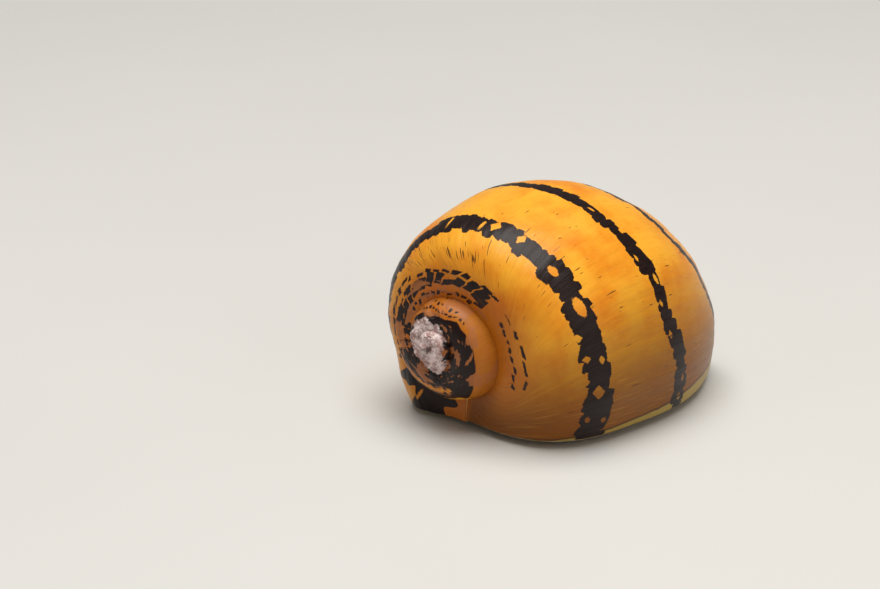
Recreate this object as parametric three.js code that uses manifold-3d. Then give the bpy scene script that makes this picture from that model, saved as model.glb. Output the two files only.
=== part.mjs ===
// A nerite snail at rest: a globose, right-handed spiral shell over a flat foot, head just out.
// Millimetres and degrees, +Z up, the floor at Z = 0, the origin under the middle of the animal.
import * as THREE from "three";
import { mergeVertices } from "three/addons/utils/BufferGeometryUtils.js";
import Module from "manifold-3d";

const wasm = await Module();
wasm.setup();

// The spiral: the shell widens by this factor in each turn about its axis, which lies almost level.
const TURN_GROWTH = 2.723;
const SPIRAL_ORIGIN = new THREE.Vector3(-8.575, -8.9, 6.17);
const AXIS_BEARING = 229.5;
const AXIS_TILT = -1.6;

// The whorl's section: a rounded outline about a centre that lies off the axis and below the apex.
const WHORL_RADIUS = 7.59;
const WHORL_OFFSET = 3.395;
const WHORL_DROP = 10.82;
const OUTLINE_COSINES = { 2: -0.084, 3: -0.087, 4: 0.026, 5: 0.009 };
const OUTLINE_SINES = { 2: -0.038, 3: 0.04, 4: -0.024, 5: -0.004 };
const SECTION_TOP = 117;
const SECTION_BASE = -52;

// The base: from the round outline, one curve runs to the base pole, which is a point on the axis.
const BASE_POLE_DROP = 19.0;
const BASE_LEAVING = 0.48;
const BASE_FULLNESS = 0.55;

// Every section stops just short of the axis, and a thin solid core fills the middle.
const AXIS_GAP = 0.25;
const CORE_RADIUS = 0.4;
const CORE_TOP = -1.9;
const CORE_PROUD = 0.03;
const SPIRE_CORE_ENDS = [-2.6, -0.42];

// How far the coil is wound, as turning angles. Zero points to the front right, 90 points down.
const APEX_TURN = -920;
const BODY_START_TURN = -290;
const BODY_END_TURN = 90;
const CLOSING_END_TURN = 165;
const CLOSED_TO_TURN = -212;
const LONGEST_STRETCH = 320;
const TUCK = 0.1;

// The worn tip of the spire is a piece of its own.
const ERODED_RADIUS = 1.3;
const ERODED_ENDS = [-2.5, 2];

// The mouth of the shell: how high the lip stands, and how it arches up over the head.
const LIP_HEIGHT = 0.45;
const LIP_ARCH = 1.35;
const LIP_ARCH_FROM = 19.2;
const LIP_ARCH_TO = 21.3;
const LIP_ARCH_STEPS = 8;
const LIP_RIM = 0.65;
const WALL = 0.8;
const MOUTH_DEPTH = 3.0;

// The deck: the flat shelf that closes the inner half of the mouth, with a hollow under it for the foot.
const DECK_EDGE = 0.6;
const DECK_HEIGHT = 1.0;
const DECK_THICKNESS = 1.1;
const DECK_APEX_END = -4.2;

// The foot, placed in the shell's own frame: outward from the axis, and along it.
const SOLE_THICKNESS = 0.6;
const SOLE_CENTRE = [2.5, -12.9];
const SOLE_HALF_WIDTH = 5.1;
const SOLE_HALF_LENGTH = 8.0;
const MUSCLE_WIDTH_SHARE = 0.9;
const MUSCLE_LENGTH_SHARE = 0.78;
const MUSCLE_TOP = 1.45;
const TAIL_FROM = -9.2;
const LID_CENTRE = [3.3, -7.2];
const LID_HALF_WIDTH = 2.1;
const LID_HALF_LENGTH = 1.7;
const LID_THICKNESS = 0.5;

// The head, which looks out under the arch of the lip. Its own places are [ahead, beside, up].
const HEAD_CENTRE = [1.75, -22.4];
const HEAD_BEARING = 62;
const HEAD_AT = [0, 0, 0.75];
const HEAD_HALF_SIZE = [2.5, 1.5, 0.58];
const SNOUT_AT = [2.1, 0, 0.5];
const SNOUT_HALF_SIZE = [0.95, 1.35, 0.38];
const TENTACLE_PATH = {
  left: [[1.35, 0.95, 0.95], [2.0, 2.0, 0.85], [2.3, 3.3, 0.6], [2.0, 4.6, 0.45]],
  right: [[1.35, -0.95, 0.95], [2.3, -1.35, 0.8], [3.4, -1.5, 0.55], [4.5, -1.2, 0.42]],
};
const TENTACLE_ROOT_RADIUS = 0.4;
const TENTACLE_TIP_RADIUS = 0.26;
const TENTACLE_STEPS = 12;
const TENTACLE_SIDES = 8;
const STALK_AT = [0.75, 1.45, 0.95];
const STALK_HALF_SIZE = [0.42, 0.5, 0.42];
const EYE_AT = [0.85, 1.85, 1.08];
const EYE_RADIUS = 0.27;

// CUT is the gap between pieces of one shell, CLEARANCE the gap from the flesh to the shell.
// SLIVER is the size of edge crumbs that are closed up. FAR is beyond the animal on every side.
const CUT = 0.06;
const CLEARANCE = 0.35;
const SLIVER = 0.01;
const FAR = 40;

// How finely round forms are divided, round and from pole to pole.
const ROUND_SEGMENTS = [18, 10];
const SMALL_SEGMENTS = [10, 6];
const OVAL_SEGMENTS = 40;
const ROD_SEGMENTS = 12;

const COLOURS = {
  shell: { color: 0xd98a1c, roughness: 0.28, metalness: 0 },
  lip: { color: 0xb79a2e, roughness: 0.3, metalness: 0 },
  apex: { color: 0xcdbdb8, roughness: 0.8, metalness: 0 },
  deck: { color: 0xd9d2bd, roughness: 0.35, metalness: 0 },
  flesh: { color: 0x4a4640, roughness: 0.45, metalness: 0 },
  lid: { color: 0x6b4a34, roughness: 0.4, metalness: 0 },
  eye: { color: 0x0b0b0c, roughness: 0.12, metalness: 0 },
};

const { degToRad: radians, lerp, smoothstep } = THREE.MathUtils;
const UP = new THREE.Vector3(0, 0, 1);

// The axis points to the apex. "Outward" is where turning angle 0 points, and "above" is the third direction.
const axis = new THREE.Vector3(
  Math.cos(radians(AXIS_BEARING)) * Math.cos(radians(AXIS_TILT)),
  Math.sin(radians(AXIS_BEARING)) * Math.cos(radians(AXIS_TILT)),
  Math.sin(radians(AXIS_TILT)),
);
const outward = new THREE.Vector3(1, 0, 0);
outward.addScaledVector(axis, -outward.dot(axis)).normalize();
const above = new THREE.Vector3().crossVectors(axis, outward);
const growthRate = Math.log(TURN_GROWTH) / 360;

// One point of the rounded outline, as [distance from the axis, height along the axis].
function roundOutline(degrees, inset) {
  const angle = radians(degrees);
  let factor = 1;
  for (const order of Object.keys(OUTLINE_COSINES)) {
    factor += OUTLINE_COSINES[order] * Math.cos(order * angle);
    factor += OUTLINE_SINES[order] * Math.sin(order * angle);
  }
  const radius = WHORL_RADIUS * factor - inset;
  return new THREE.Vector2(WHORL_OFFSET + radius * Math.cos(angle), -WHORL_DROP + radius * Math.sin(angle));
}

// The section at one size: from the inner top, round the outside, and by the base curve to the pole.
// With poleGrowth 0 the pole stays where it is, and with 1 it moves down the axis as the section grows.
function sectionAt(size, inset, style) {
  const outline = [];
  for (let i = 0; i <= style.points; i += 1) {
    const degrees = lerp(SECTION_TOP, SECTION_BASE, i / style.points);
    outline.push(roundOutline(degrees, inset).multiplyScalar(size));
  }
  const end = outline[style.points];
  const pole = new THREE.Vector2(0, (-BASE_POLE_DROP + inset) * size ** style.poleGrowth);
  const onward = roundOutline(SECTION_BASE - 0.5, 0).sub(roundOutline(SECTION_BASE + 0.5, 0)).normalize();
  const leaving = end.clone().addScaledVector(onward, end.distanceTo(pole) * BASE_LEAVING);
  const arriving = new THREE.Vector2(end.x * BASE_FULLNESS, pole.y);
  const curve = new THREE.CubicBezierCurve(end, leaving, arriving, pole);
  for (let i = 1; i <= style.basePoints; i += 1) {
    outline.push(curve.getPoint(i / style.basePoints));
  }
  outline[0].x = AXIS_GAP;
  outline[outline.length - 1].x = AXIS_GAP;
  return outline;
}

// A section point placed in space at one turning angle.
function onSpiral(point, turn) {
  return SPIRAL_ORIGIN.clone()
    .addScaledVector(outward, point.x * Math.cos(radians(turn)))
    .addScaledVector(above, -point.x * Math.sin(radians(turn)))
    .addScaledVector(axis, point.y);
}

// A closed triangle list made into a solid, turned right side out if it is inside out.
function solid(positions, faces) {
  const at = (i) => new THREE.Vector3().fromArray(positions, 3 * i);
  let volume = 0;
  for (let i = 0; i < faces.length; i += 3) {
    volume += at(faces[i]).dot(at(faces[i + 1]).cross(at(faces[i + 2])));
  }
  if (volume < 0) {
    faces.reverse();
  }
  const vertProperties = new Float32Array(positions);
  const triVerts = new Uint32Array(faces);
  return new wasm.Manifold(new wasm.Mesh({ numProp: 3, vertProperties, triVerts }));
}

// A closed mesh from rings with the same number of points, with flat ends.
function solidFromRings(rings, cap) {
  const count = rings[0].length;
  const positions = rings.flat().flatMap((p) => [p.x, p.y, p.z]);
  const faces = [];
  for (let k = 0; k + 1 < rings.length; k += 1) {
    for (let i = 0; i < count; i += 1) {
      const a = k * count + i;
      const b = k * count + ((i + 1) % count);
      faces.push(a, b, b + count, a, b + count, a + count);
    }
  }
  const last = (rings.length - 1) * count;
  for (const [a, b, c] of cap) {
    faces.push(a, c, b, last + a, last + b, last + c);
  }
  return solid(positions, faces);
}

// A three.js geometry made into a solid, after its matrix is applied.
function solidFromGeometry(geometry, matrix) {
  const bare = geometry.clone().applyMatrix4(matrix);
  bare.deleteAttribute("normal");
  bare.deleteAttribute("uv");
  const merged = mergeVertices(bare, 1e-5);
  return solid(Array.from(merged.attributes.position.array), Array.from(merged.index.array));
}

// The triangles that fill a flat outline, all wound the same way as the outline itself.
function capFaces(outline) {
  const area = (points) => THREE.ShapeUtils.area(points);
  const sameWay = (face) => area(face.map((i) => outline[i])) * area(outline) > 0;
  const faces = THREE.ShapeUtils.triangulateShape(outline, []);
  return faces.map((face) => (sameWay(face) ? face : [face[0], face[2], face[1]]));
}

// One stretch of the coil, from places that each give a turning angle and a tuck inwards.
function coilStretch(places, style) {
  const outlines = places.map(({ turn, tuck }) => {
    const size = Math.exp(growthRate * style.grownTo(turn));
    return sectionAt(size, style.inset + tuck, style);
  });
  const rings = outlines.map((outline, k) => outline.map((p) => onSpiral(p, places[k].turn)));
  return solidFromRings(rings, capFaces(outlines[0]));
}

// A longer coil, joined from stretches of under one turn, so that none meets itself.
// Where two meet, each runs on a little inside the other, with its end tucked in.
function coil(from, to, style) {
  const count = Math.ceil((to - from) / LONGEST_STRETCH);
  const stretches = [];
  for (let k = 0; k < count; k += 1) {
    const start = lerp(from, to, k / count);
    const end = lerp(from, to, (k + 1) / count);
    const steps = Math.round((end - start) / style.step);
    const places = [];
    for (let i = 0; i <= steps; i += 1) {
      places.push({ turn: lerp(start, end, i / steps), tuck: 0 });
    }
    if (k > 0) {
      places[0].turn += style.step / 2;
      places.unshift({ turn: start - style.step / 2, tuck: TUCK });
    }
    if (k + 1 < count) {
      places.push({ turn: end + style.step, tuck: TUCK });
    }
    stretches.push(coilStretch(places, style));
  }
  return stretches.reduce((whole, stretch) => whole.add(stretch));
}

// A rod about the axis, between two heights along it.
function rodOnAxis(radius, from, to) {
  const rod = new THREE.CylinderGeometry(radius, radius, to - from, ROD_SEGMENTS);
  const turn = new THREE.Quaternion().setFromUnitVectors(new THREE.Vector3(0, 1, 0), axis);
  const place = new THREE.Matrix4().makeRotationFromQuaternion(turn);
  place.setPosition(SPIRAL_ORIGIN.clone().addScaledVector(axis, (from + to) / 2));
  return solidFromGeometry(rod, place);
}

// The shell's own frame: X outward, Y along the axis, Z up, with its origin on the floor.
const shellFrame = new THREE.Matrix4().makeBasis(
  new THREE.Vector3(outward.x, outward.y, 0).normalize(),
  new THREE.Vector3(axis.x, axis.y, 0).normalize(),
  UP,
);
shellFrame.setPosition(SPIRAL_ORIGIN.x, SPIRAL_ORIGIN.y, 0);

// A box given by its lowest and highest corners in the shell's own frame.
function boxInShell(low, high) {
  const size = [0, 1, 2].map((i) => high[i] - low[i]);
  const centre = [0, 1, 2].map((i) => (high[i] + low[i]) / 2);
  const place = new THREE.Matrix4().makeTranslation(...centre).premultiply(shellFrame);
  return solidFromGeometry(new THREE.BoxGeometry(...size), place);
}

// The height of the lip above the floor, by the distance from the spiral's origin towards the base.
function lipHeight(distance) {
  return LIP_HEIGHT + LIP_ARCH * smoothstep(distance, LIP_ARCH_FROM, LIP_ARCH_TO);
}

// Everything below the lip, raised by "lift": a long block whose top follows the lip's arch.
function belowLip(lift) {
  const outline = new THREE.Shape();
  outline.moveTo(-FAR, -FAR);
  outline.lineTo(FAR, -FAR);
  outline.lineTo(FAR, lipHeight(FAR) + lift);
  for (let i = 0; i <= LIP_ARCH_STEPS; i += 1) {
    const distance = lerp(LIP_ARCH_TO, LIP_ARCH_FROM, i / LIP_ARCH_STEPS);
    outline.lineTo(distance, lipHeight(distance) + lift);
  }
  outline.lineTo(-FAR, LIP_HEIGHT + lift);
  outline.closePath();
  const block = new THREE.ExtrudeGeometry(outline, { depth: 2 * FAR, bevelEnabled: false });
  const place = new THREE.Matrix4().makeBasis(new THREE.Vector3(0, -1, 0), UP, new THREE.Vector3(-1, 0, 0));
  place.setPosition(FAR, 0, 0);
  return solidFromGeometry(block, place.premultiply(shellFrame));
}

// An ellipsoid from its centre and three half sizes, turned to a bearing.
function ellipsoid(centre, halfSize, bearing, segments) {
  const place = new THREE.Matrix4().makeRotationZ(radians(bearing));
  place.setPosition(...centre);
  place.scale(new THREE.Vector3(...halfSize));
  return solidFromGeometry(new THREE.SphereGeometry(1, ...segments).rotateX(Math.PI / 2), place);
}

// A flat-bottomed oval slab in the shell's own frame, between two heights.
function ovalSlab(centre, halfWidth, halfLength, low, high) {
  const oval = new THREE.Shape();
  oval.absellipse(...centre, halfWidth, halfLength, 0, 2 * Math.PI, false, 0);
  const form = { depth: high - low, bevelEnabled: false, curveSegments: OVAL_SEGMENTS };
  const place = new THREE.Matrix4().makeTranslation(0, 0, low).premultiply(shellFrame);
  return solidFromGeometry(new THREE.ExtrudeGeometry(oval, form), place);
}

// A tapered feeler along a smooth curve.
function feeler(points, rootRadius, tipRadius) {
  const curve = new THREE.CatmullRomCurve3(points);
  const round = [];
  for (let i = 0; i < TENTACLE_SIDES; i += 1) {
    const angle = (2 * Math.PI * i) / TENTACLE_SIDES;
    round.push(new THREE.Vector2(Math.cos(angle), Math.sin(angle)));
  }
  const rings = [];
  for (let k = 0; k <= TENTACLE_STEPS; k += 1) {
    const part = k / TENTACLE_STEPS;
    const centre = curve.getPointAt(part);
    const ahead = curve.getTangentAt(part);
    const side = new THREE.Vector3().crossVectors(ahead, UP).normalize();
    const over = new THREE.Vector3().crossVectors(side, ahead);
    const radius = lerp(rootRadius, tipRadius, part);
    const ring = round.map((p) => centre.clone()
      .addScaledVector(side, radius * p.x)
      .addScaledVector(over, radius * p.y));
    rings.push(ring);
  }
  return solidFromRings(rings, capFaces(round));
}

const snail = new THREE.Group();

// A piece's mesh, without the crumbs that a cut leaves along its edges.
function addNode(name, shape, colours) {
  const mesh = shape.asOriginal().simplify(SLIVER).getMesh();
  const geometry = new THREE.BufferGeometry();
  geometry.setAttribute("position", new THREE.BufferAttribute(new Float32Array(mesh.vertProperties), 3));
  geometry.setIndex(new THREE.BufferAttribute(new Uint32Array(mesh.triVerts), 1));
  geometry.computeVertexNormals();
  const node = new THREE.Mesh(geometry, new THREE.MeshStandardMaterial(colours));
  node.name = name;
  snail.add(node);
}

// The body whorl grows to its last turn, and then shrinks back under itself to close the deck side.
function bodyGrownTo(turn) {
  const closing = smoothstep(turn, BODY_END_TURN, CLOSING_END_TURN);
  return lerp(Math.min(turn, BODY_END_TURN), CLOSED_TO_TURN, closing);
}
const bodyStyle = { step: 10, points: 24, basePoints: 8, inset: 0, grownTo: bodyGrownTo, poleGrowth: 0 };
const spireStyle = { step: 18, points: 14, basePoints: 3, inset: 0, grownTo: (turn) => turn, poleGrowth: 1 };

// The whole body whorl before it is cut, made smaller all round by an inset.
function bodySolid(inset) {
  const core = rodOnAxis(CORE_RADIUS - inset, -BASE_POLE_DROP - CORE_PROUD + inset, CORE_TOP - inset);
  return coil(BODY_START_TURN, CLOSING_END_TURN, { ...bodyStyle, inset }).add(core);
}

// The hollow of the mouth follows the outer wall, and stops at the straight edge of the deck.
function mouthSpace(inset, edge, low, high) {
  const box = boxInShell([edge, -FAR, low], [FAR, FAR, high]);
  return coil(-60, BODY_END_TURN, { ...bodyStyle, inset }).intersect(box);
}

function addShell() {
  const footSpace = ovalSlab(
    SOLE_CENTRE,
    SOLE_HALF_WIDTH + CLEARANCE,
    SOLE_HALF_LENGTH + CLEARANCE,
    0,
    DECK_HEIGHT,
  ).intersect(boxInShell([-FAR, -FAR, -FAR], [DECK_EDGE + CUT, FAR, FAR]));
  const body = bodySolid(0)
    .subtract(belowLip(0))
    .subtract(footSpace)
    .subtract(mouthSpace(WALL, DECK_EDGE, -FAR, LIP_HEIGHT + MOUTH_DEPTH));

  const rim = boxInShell([DECK_EDGE + 2 * CUT, -FAR, -FAR], [FAR, FAR, FAR]).intersect(belowLip(LIP_RIM));
  const rimGap = boxInShell([DECK_EDGE + CUT / 2, -FAR, -FAR], [FAR, FAR, FAR])
    .intersect(belowLip(LIP_RIM + CUT));
  const deckTop = DECK_HEIGHT + DECK_THICKNESS;
  const deck = boxInShell([-FAR, -FAR, 0], [DECK_EDGE - CUT, DECK_APEX_END, deckTop]);
  const deckGap = boxInShell([-FAR, -FAR, 0], [DECK_EDGE + CUT, DECK_APEX_END + CUT, deckTop + CUT]);
  addNode("shell_body_whorl", body.subtract(rimGap).subtract(deckGap), COLOURS.shell);
  addNode("shell_outer_lip", body.intersect(rim), COLOURS.lip);
  addNode("shell_columellar_deck", body.intersect(deck), COLOURS.deck);

  const spire = coil(APEX_TURN, BODY_START_TURN, spireStyle)
    .add(rodOnAxis(CORE_RADIUS, ...SPIRE_CORE_ENDS))
    .subtract(bodySolid(-CUT));
  const worn = rodOnAxis(ERODED_RADIUS, ...ERODED_ENDS);
  const wornGap = rodOnAxis(ERODED_RADIUS + CUT, ERODED_ENDS[0] - CUT, ERODED_ENDS[1]);
  addNode("shell_spire", spire.subtract(wornGap), COLOURS.shell);
  addNode("shell_apex", spire.intersect(worn), COLOURS.apex);
}

// A place given from the head, as [ahead, beside, up], with "beside" to the animal's left.
function fromHead([ahead, beside, up]) {
  const headCentre = new THREE.Vector3(...HEAD_CENTRE, 0).applyMatrix4(shellFrame);
  return new THREE.Vector3(ahead, beside, up).applyAxisAngle(UP, radians(HEAD_BEARING)).add(headCentre);
}

// An ellipsoid in line with the head, made larger all round by "grow".
function headForm(place, halfSize, grow, segments = ROUND_SEGMENTS) {
  return ellipsoid(fromHead(place), halfSize.map((half) => half + grow), HEAD_BEARING, segments);
}

// The foot: a thin spreading sole, and on it the muscle that rises into the mouth of the shell.
function addFoot() {
  const sole = ovalSlab(SOLE_CENTRE, SOLE_HALF_WIDTH, SOLE_HALF_LENGTH, 0, SOLE_THICKNESS);
  const muscle = ovalSlab(
    SOLE_CENTRE,
    MUSCLE_WIDTH_SHARE * SOLE_HALF_WIDTH,
    MUSCLE_LENGTH_SHARE * SOLE_HALF_LENGTH,
    SOLE_THICKNESS / 2,
    MUSCLE_TOP,
  ).intersect(boxInShell([DECK_EDGE + CLEARANCE, -FAR, 0], [FAR, TAIL_FROM - CUT, FAR]));
  const foot = sole.add(muscle).subtract(headForm(HEAD_AT, HEAD_HALF_SIZE, CUT));
  const front = boxInShell([-FAR, -FAR, -FAR], [FAR, TAIL_FROM - CUT, FAR]);
  const tail = boxInShell([-FAR, TAIL_FROM, -FAR], [FAR, FAR, FAR]);
  addNode("foot_front", foot.intersect(front), COLOURS.flesh);
  addNode("foot_tail", foot.intersect(tail), COLOURS.flesh);
}

// The mantle fills the mouth above the foot, clear of the shell all round.
function addMantle() {
  const top = LIP_HEIGHT + MOUTH_DEPTH - CLEARANCE;
  const mantle = mouthSpace(WALL + CLEARANCE, DECK_EDGE + CLEARANCE, MUSCLE_TOP + CLEARANCE, top);
  addNode("mantle", mantle, COLOURS.flesh);
}

// The lid lies on the tail of the foot, beside the deck: an oval plate with one straight edge.
function addLid() {
  const low = SOLE_THICKNESS + CUT;
  const lid = ovalSlab(LID_CENTRE, LID_HALF_WIDTH, LID_HALF_LENGTH, low, low + LID_THICKNESS)
    .intersect(boxInShell([DECK_EDGE + CLEARANCE, -FAR, 0], [FAR, FAR, FAR]));
  addNode("operculum", lid, COLOURS.lid);
}

// The head, its snout, and on each side a feeler and a short stalk with the eye on its end.
function addHead() {
  const head = headForm(HEAD_AT, HEAD_HALF_SIZE, 0);
  addNode("head", head.subtract(headForm(SNOUT_AT, SNOUT_HALF_SIZE, CUT)), COLOURS.flesh);
  addNode("snout", headForm(SNOUT_AT, SNOUT_HALF_SIZE, 0), COLOURS.flesh);

  const headGap = headForm(HEAD_AT, HEAD_HALF_SIZE, CUT).add(headForm(SNOUT_AT, SNOUT_HALF_SIZE, CUT));
  for (const [side, sign] of [["left", 1], ["right", -1]]) {
    const onSide = ([ahead, beside, up]) => [ahead, sign * beside, up];
    const stalk = (grow) => headForm(onSide(STALK_AT), STALK_HALF_SIZE, grow, SMALL_SEGMENTS);
    const eye = (grow) => {
      const radius = EYE_RADIUS + grow;
      return ellipsoid(fromHead(onSide(EYE_AT)), [radius, radius, radius], HEAD_BEARING, SMALL_SEGMENTS);
    };
    const tentacle = feeler(TENTACLE_PATH[side].map(fromHead), TENTACLE_ROOT_RADIUS, TENTACLE_TIP_RADIUS);
    addNode(`tentacle_${side}`, tentacle.subtract(headGap).subtract(stalk(CUT)), COLOURS.flesh);
    addNode(`eyestalk_${side}`, stalk(0).subtract(headGap).subtract(eye(CUT)), COLOURS.flesh);
    addNode(`eye_${side}`, eye(0), COLOURS.eye);
  }
}

addShell();
addFoot();
addMantle();
addLid();
addHead();

export default snail;
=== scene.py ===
import math

import bmesh
import bpy
import numpy as np
from mathutils import Matrix, Vector, noise


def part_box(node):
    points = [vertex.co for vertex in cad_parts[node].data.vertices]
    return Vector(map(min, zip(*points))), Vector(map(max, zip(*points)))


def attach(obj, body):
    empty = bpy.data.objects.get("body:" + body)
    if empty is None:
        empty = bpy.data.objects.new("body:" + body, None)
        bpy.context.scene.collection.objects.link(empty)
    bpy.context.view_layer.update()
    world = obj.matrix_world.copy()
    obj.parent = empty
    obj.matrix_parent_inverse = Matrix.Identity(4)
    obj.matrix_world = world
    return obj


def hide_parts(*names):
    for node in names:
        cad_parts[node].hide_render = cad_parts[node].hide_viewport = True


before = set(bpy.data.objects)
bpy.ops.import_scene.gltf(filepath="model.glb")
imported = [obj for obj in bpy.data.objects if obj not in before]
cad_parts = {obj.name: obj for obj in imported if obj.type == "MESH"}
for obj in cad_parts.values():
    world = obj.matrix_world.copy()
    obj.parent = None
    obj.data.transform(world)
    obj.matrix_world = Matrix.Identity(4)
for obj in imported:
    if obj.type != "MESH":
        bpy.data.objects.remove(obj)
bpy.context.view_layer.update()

# Lengths are in millimetres and angles in degrees, until a mesh is written in metres.
MM = 0.001
RANDOM_SEED = 11

# The spiral and its section, as in the solid model.
TURN_GROWTH = 2.723
SPIRAL_ORIGIN = np.array([-8.575, -8.9, 6.17])
AXIS_BEARING = 229.5
AXIS_TILT = -1.6
WHORL_RADIUS = 7.59
WHORL_OFFSET = 3.395
WHORL_DROP = 10.82
OUTLINE_COSINES = {2: -0.084, 3: -0.087, 4: 0.026, 5: 0.009}
OUTLINE_SINES = {2: -0.038, 3: 0.04, 4: -0.024, 5: -0.004}
SECTION_TOP = 117
SECTION_BASE = -52
BASE_SPAN = 100
BASE_POLE_DROP = 19.0
BASE_LEAVING = 0.48
BASE_FULLNESS = 0.55
AXIS_GAP = 0.02
APEX_TURN = -920
BODY_START_TURN = -290
BODY_END_TURN = 90
CLOSING_END_TURN = 165
CLOSED_TO_TURN = -212

# The lip, the deck and the worn tip.
LIP_HEIGHT = 0.45
LIP_ARCH = 1.35
LIP_ARCH_FROM = 19.2
LIP_ARCH_TO = 21.3
LIP_BAND = 0.65
LIP_ROUND = 0.16
WALL = 0.8
INNER_WALL_HEIGHT = 1.5
DECK_EDGE = 0.6
DECK_HEIGHT = 1.0
DECK_TOP = 2.1
DECK_APEX_END = -4.2
ERODED_RADIUS = 1.3
SOLE_CENTRE = (2.5, -12.9)
SOLE_HALF_WIDTH = 5.1
SOLE_HALF_LENGTH = 8.0
CLEARANCE = 0.35
DECK_MIDDLE = -2.0
TEETH_MIDDLE = -12.5
TEETH_SPREAD = 2.4
TOOTH_SPACING = 1.1
TOOTH_SIZE = 0.14

# The head, in its own frame: ahead, to the left and up from its centre on the floor.
HEAD_CENTRE = (1.75, -22.4)
HEAD_BEARING = 62
TENTACLES = {
    "left": ((1.2, 0.85, 0.95), (2.0, 2.0, 0.85), (2.3, 3.3, 0.6), (2.0, 4.7, 0.42)),
    "right": ((1.2, -0.85, 0.95), (2.3, -1.35, 0.8), (3.4, -1.5, 0.55), (4.6, -1.2, 0.4)),
}
TENTACLE_ROOT_RADIUS = 0.36
TENTACLE_TIP_RADIUS = 0.13
TENTACLE_POINTS = 60
EYE_AT = (0.85, 1.85, 1.08)
EYE_RADIUS = 0.27

# How finely the surfaces are divided, in degrees of turn and of section.
BODY_STEP = (0.6, 0.6)
SPIRE_STEP = (1.2, 1.0)
FLESH_VOXEL = 0.09

# The spire's sheet runs on a little way under the body whorl's: degrees of turn, and how deep.
JOINT_LAP = 12
JOINT_DEPTH = 0.03

# Dark bands: turning angles, the section angle of the band's middle there, and half its width.
UPPER_BAND = (
    (-290, -155, -132, -119, -107, -92, 40),
    (58, 57, 55, 50, 46, 44.5, 44.5),
    6.3,
)
MIDDLE_BAND = (
    (-290, -103, -82, -68, -57, -23, -10, 4, 14, 40),
    (-14, -13.5, -8.5, -11, -8, -8, -6, -7.5, -10, -10),
    4.8,
)
LOWER_BAND = ((-290, -43, -30, -16, 40), (-48, -47, -48, -55, -60), 3.5)
BLOCK_LENGTH = 4.6
BLOCK_COUNT = 997
EDGE_JITTER = 1.6
NICK_SHARE = 0.32
NICK_WIDTH = 0.14

# Blotches near the suture: band as above, and the last turning angle that has them.
BLOTCH_BAND = ((-290, 40), (78, 76), 9)
BLOTCH_END_TURN = -205

# Where the pattern stops short of the lip, and where the dark stretch behind the lip begins.
INK_END_TURN = 84
CLOSING_INK_TURN = 97
CLOSING_INK_ANGLE = 70

# Bare openings in the bands: turning angle, section angle, half length, half width, pointed or not.
UPPER_OPENINGS = (
    (-102, 44, 0.7, 4.6, False),
    (-82, 45, 0.9, 3.2, False),
    (-75.5, 43, 2.8, 3.8, True),
    (-61.5, 43, 2.2, 3.4, True),
    (-41, 44.5, 2.7, 2.0, False),
    (-23, 43.5, 4.3, 2.6, False),
    (-11, 50, 2.0, 2.2, True),
    (-1.5, 48.5, 1.6, 2.4, True),
    (0, 41.5, 2.1, 1.5, True),
    (8, 50, 1.8, 2.0, True),
    (13, 44.5, 3.1, 3.0, True),
    (25.5, 48, 1.4, 1.1, False),
    (26, 40.5, 1.4, 1.1, False),
)
MIDDLE_OPENINGS = (
    (-57, -9, 1.4, 0.8, False),
    (-43, -11, 1.6, 1.0, True),
    (-31, -5.6, 1.8, 1.1, True),
    (-21, -9.3, 1.9, 1.2, False),
    (-12, -5.2, 1.6, 1.3, True),
    (0, -4.6, 1.8, 1.5, True),
    (19, -11.5, 2.0, 1.1, True),
    (26.5, -10, 1.5, 1.3, False),
)

# Rows of dashes: section angle, half width, period, how much of it is dark, first and last turning angle.
DASH_ROWS = (
    (73.8, 1.2, 9, 0.95, -121, -42),
    (79.3, 3.5, 10.5, 1.04, -176, -45),
    (76.5, 1.3, 8, 0.8, -170, -118),
    (80.0, 0.9, 7, 0.9, -30, 24),
    (74.5, 0.6, 11, 0.8, -34, 20),
    (85.8, 1.5, 8, 0.9, -175, -56),
    (71.5, 1.3, 10, 0.9, -222, -128),
    (76.5, 2.2, 13, 1.0, -232, -160),
    (81.5, 2.3, 12, 1.0, -250, -150),
    (86.5, 2.6, 10, 0.95, -290, -172),
)
DASH_LEAN = 0.9

# The same on the spire, with the distance beyond the dark zone in place of the section angle.
SPIRE_DASH_ROWS = (
    (2.6, 0.75, 6.5, 0.80, -640, -400),
    (5.6, 0.65, 8.0, 0.78, -640, -418),
    (8.4, 0.60, 7.0, 0.72, -640, -436),
)

# The rest line near the lip: section angles, and how many degrees of turn it lies before the lip.
REST_LINE = ((-54, -31.5, -13.5, 4.5, 20.5, 34, 70), (9.5, 7.6, 6.0, 4.4, 3.8, 3.2, 2.0))

# The worn patch about the tip: its middle, half its breadth and half its height.
PATCH_MIDDLE = np.array([-8.3, -8.2, 6.1])
PATCH_HALF_SIZE = (1.35, 1.9)

# How far from the axis the dark zone round the tip reaches, by turning angle.
DARK_ZONE = (
    (-920, -545, -525, -425, -409, -396, -383, -359, -326, -290),
    (2.6, 2.3, 2.0, 2.1, 2.5, 2.5, 2.7, 2.85, 3.2, 4.0),
)

# The camera: lens and sensor in millimetres, what it looks at, and from how far and how high.
CAMERA_LENS = 122.73
CAMERA_SENSOR = 36
CAMERA_TARGET = (-7.571, -7.664, 9.23)
CAMERA_DISTANCE = 179.64
CAMERA_ELEVATION = 22

# The studio, in metres.
FLOOR_HALF_SIZE = 3.0
LIGHTS_AIM = (0, 0, 0.006)

GROWTH_RATE = math.log(TURN_GROWTH) / 360
DEGREES_PER_MM = 12


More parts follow.
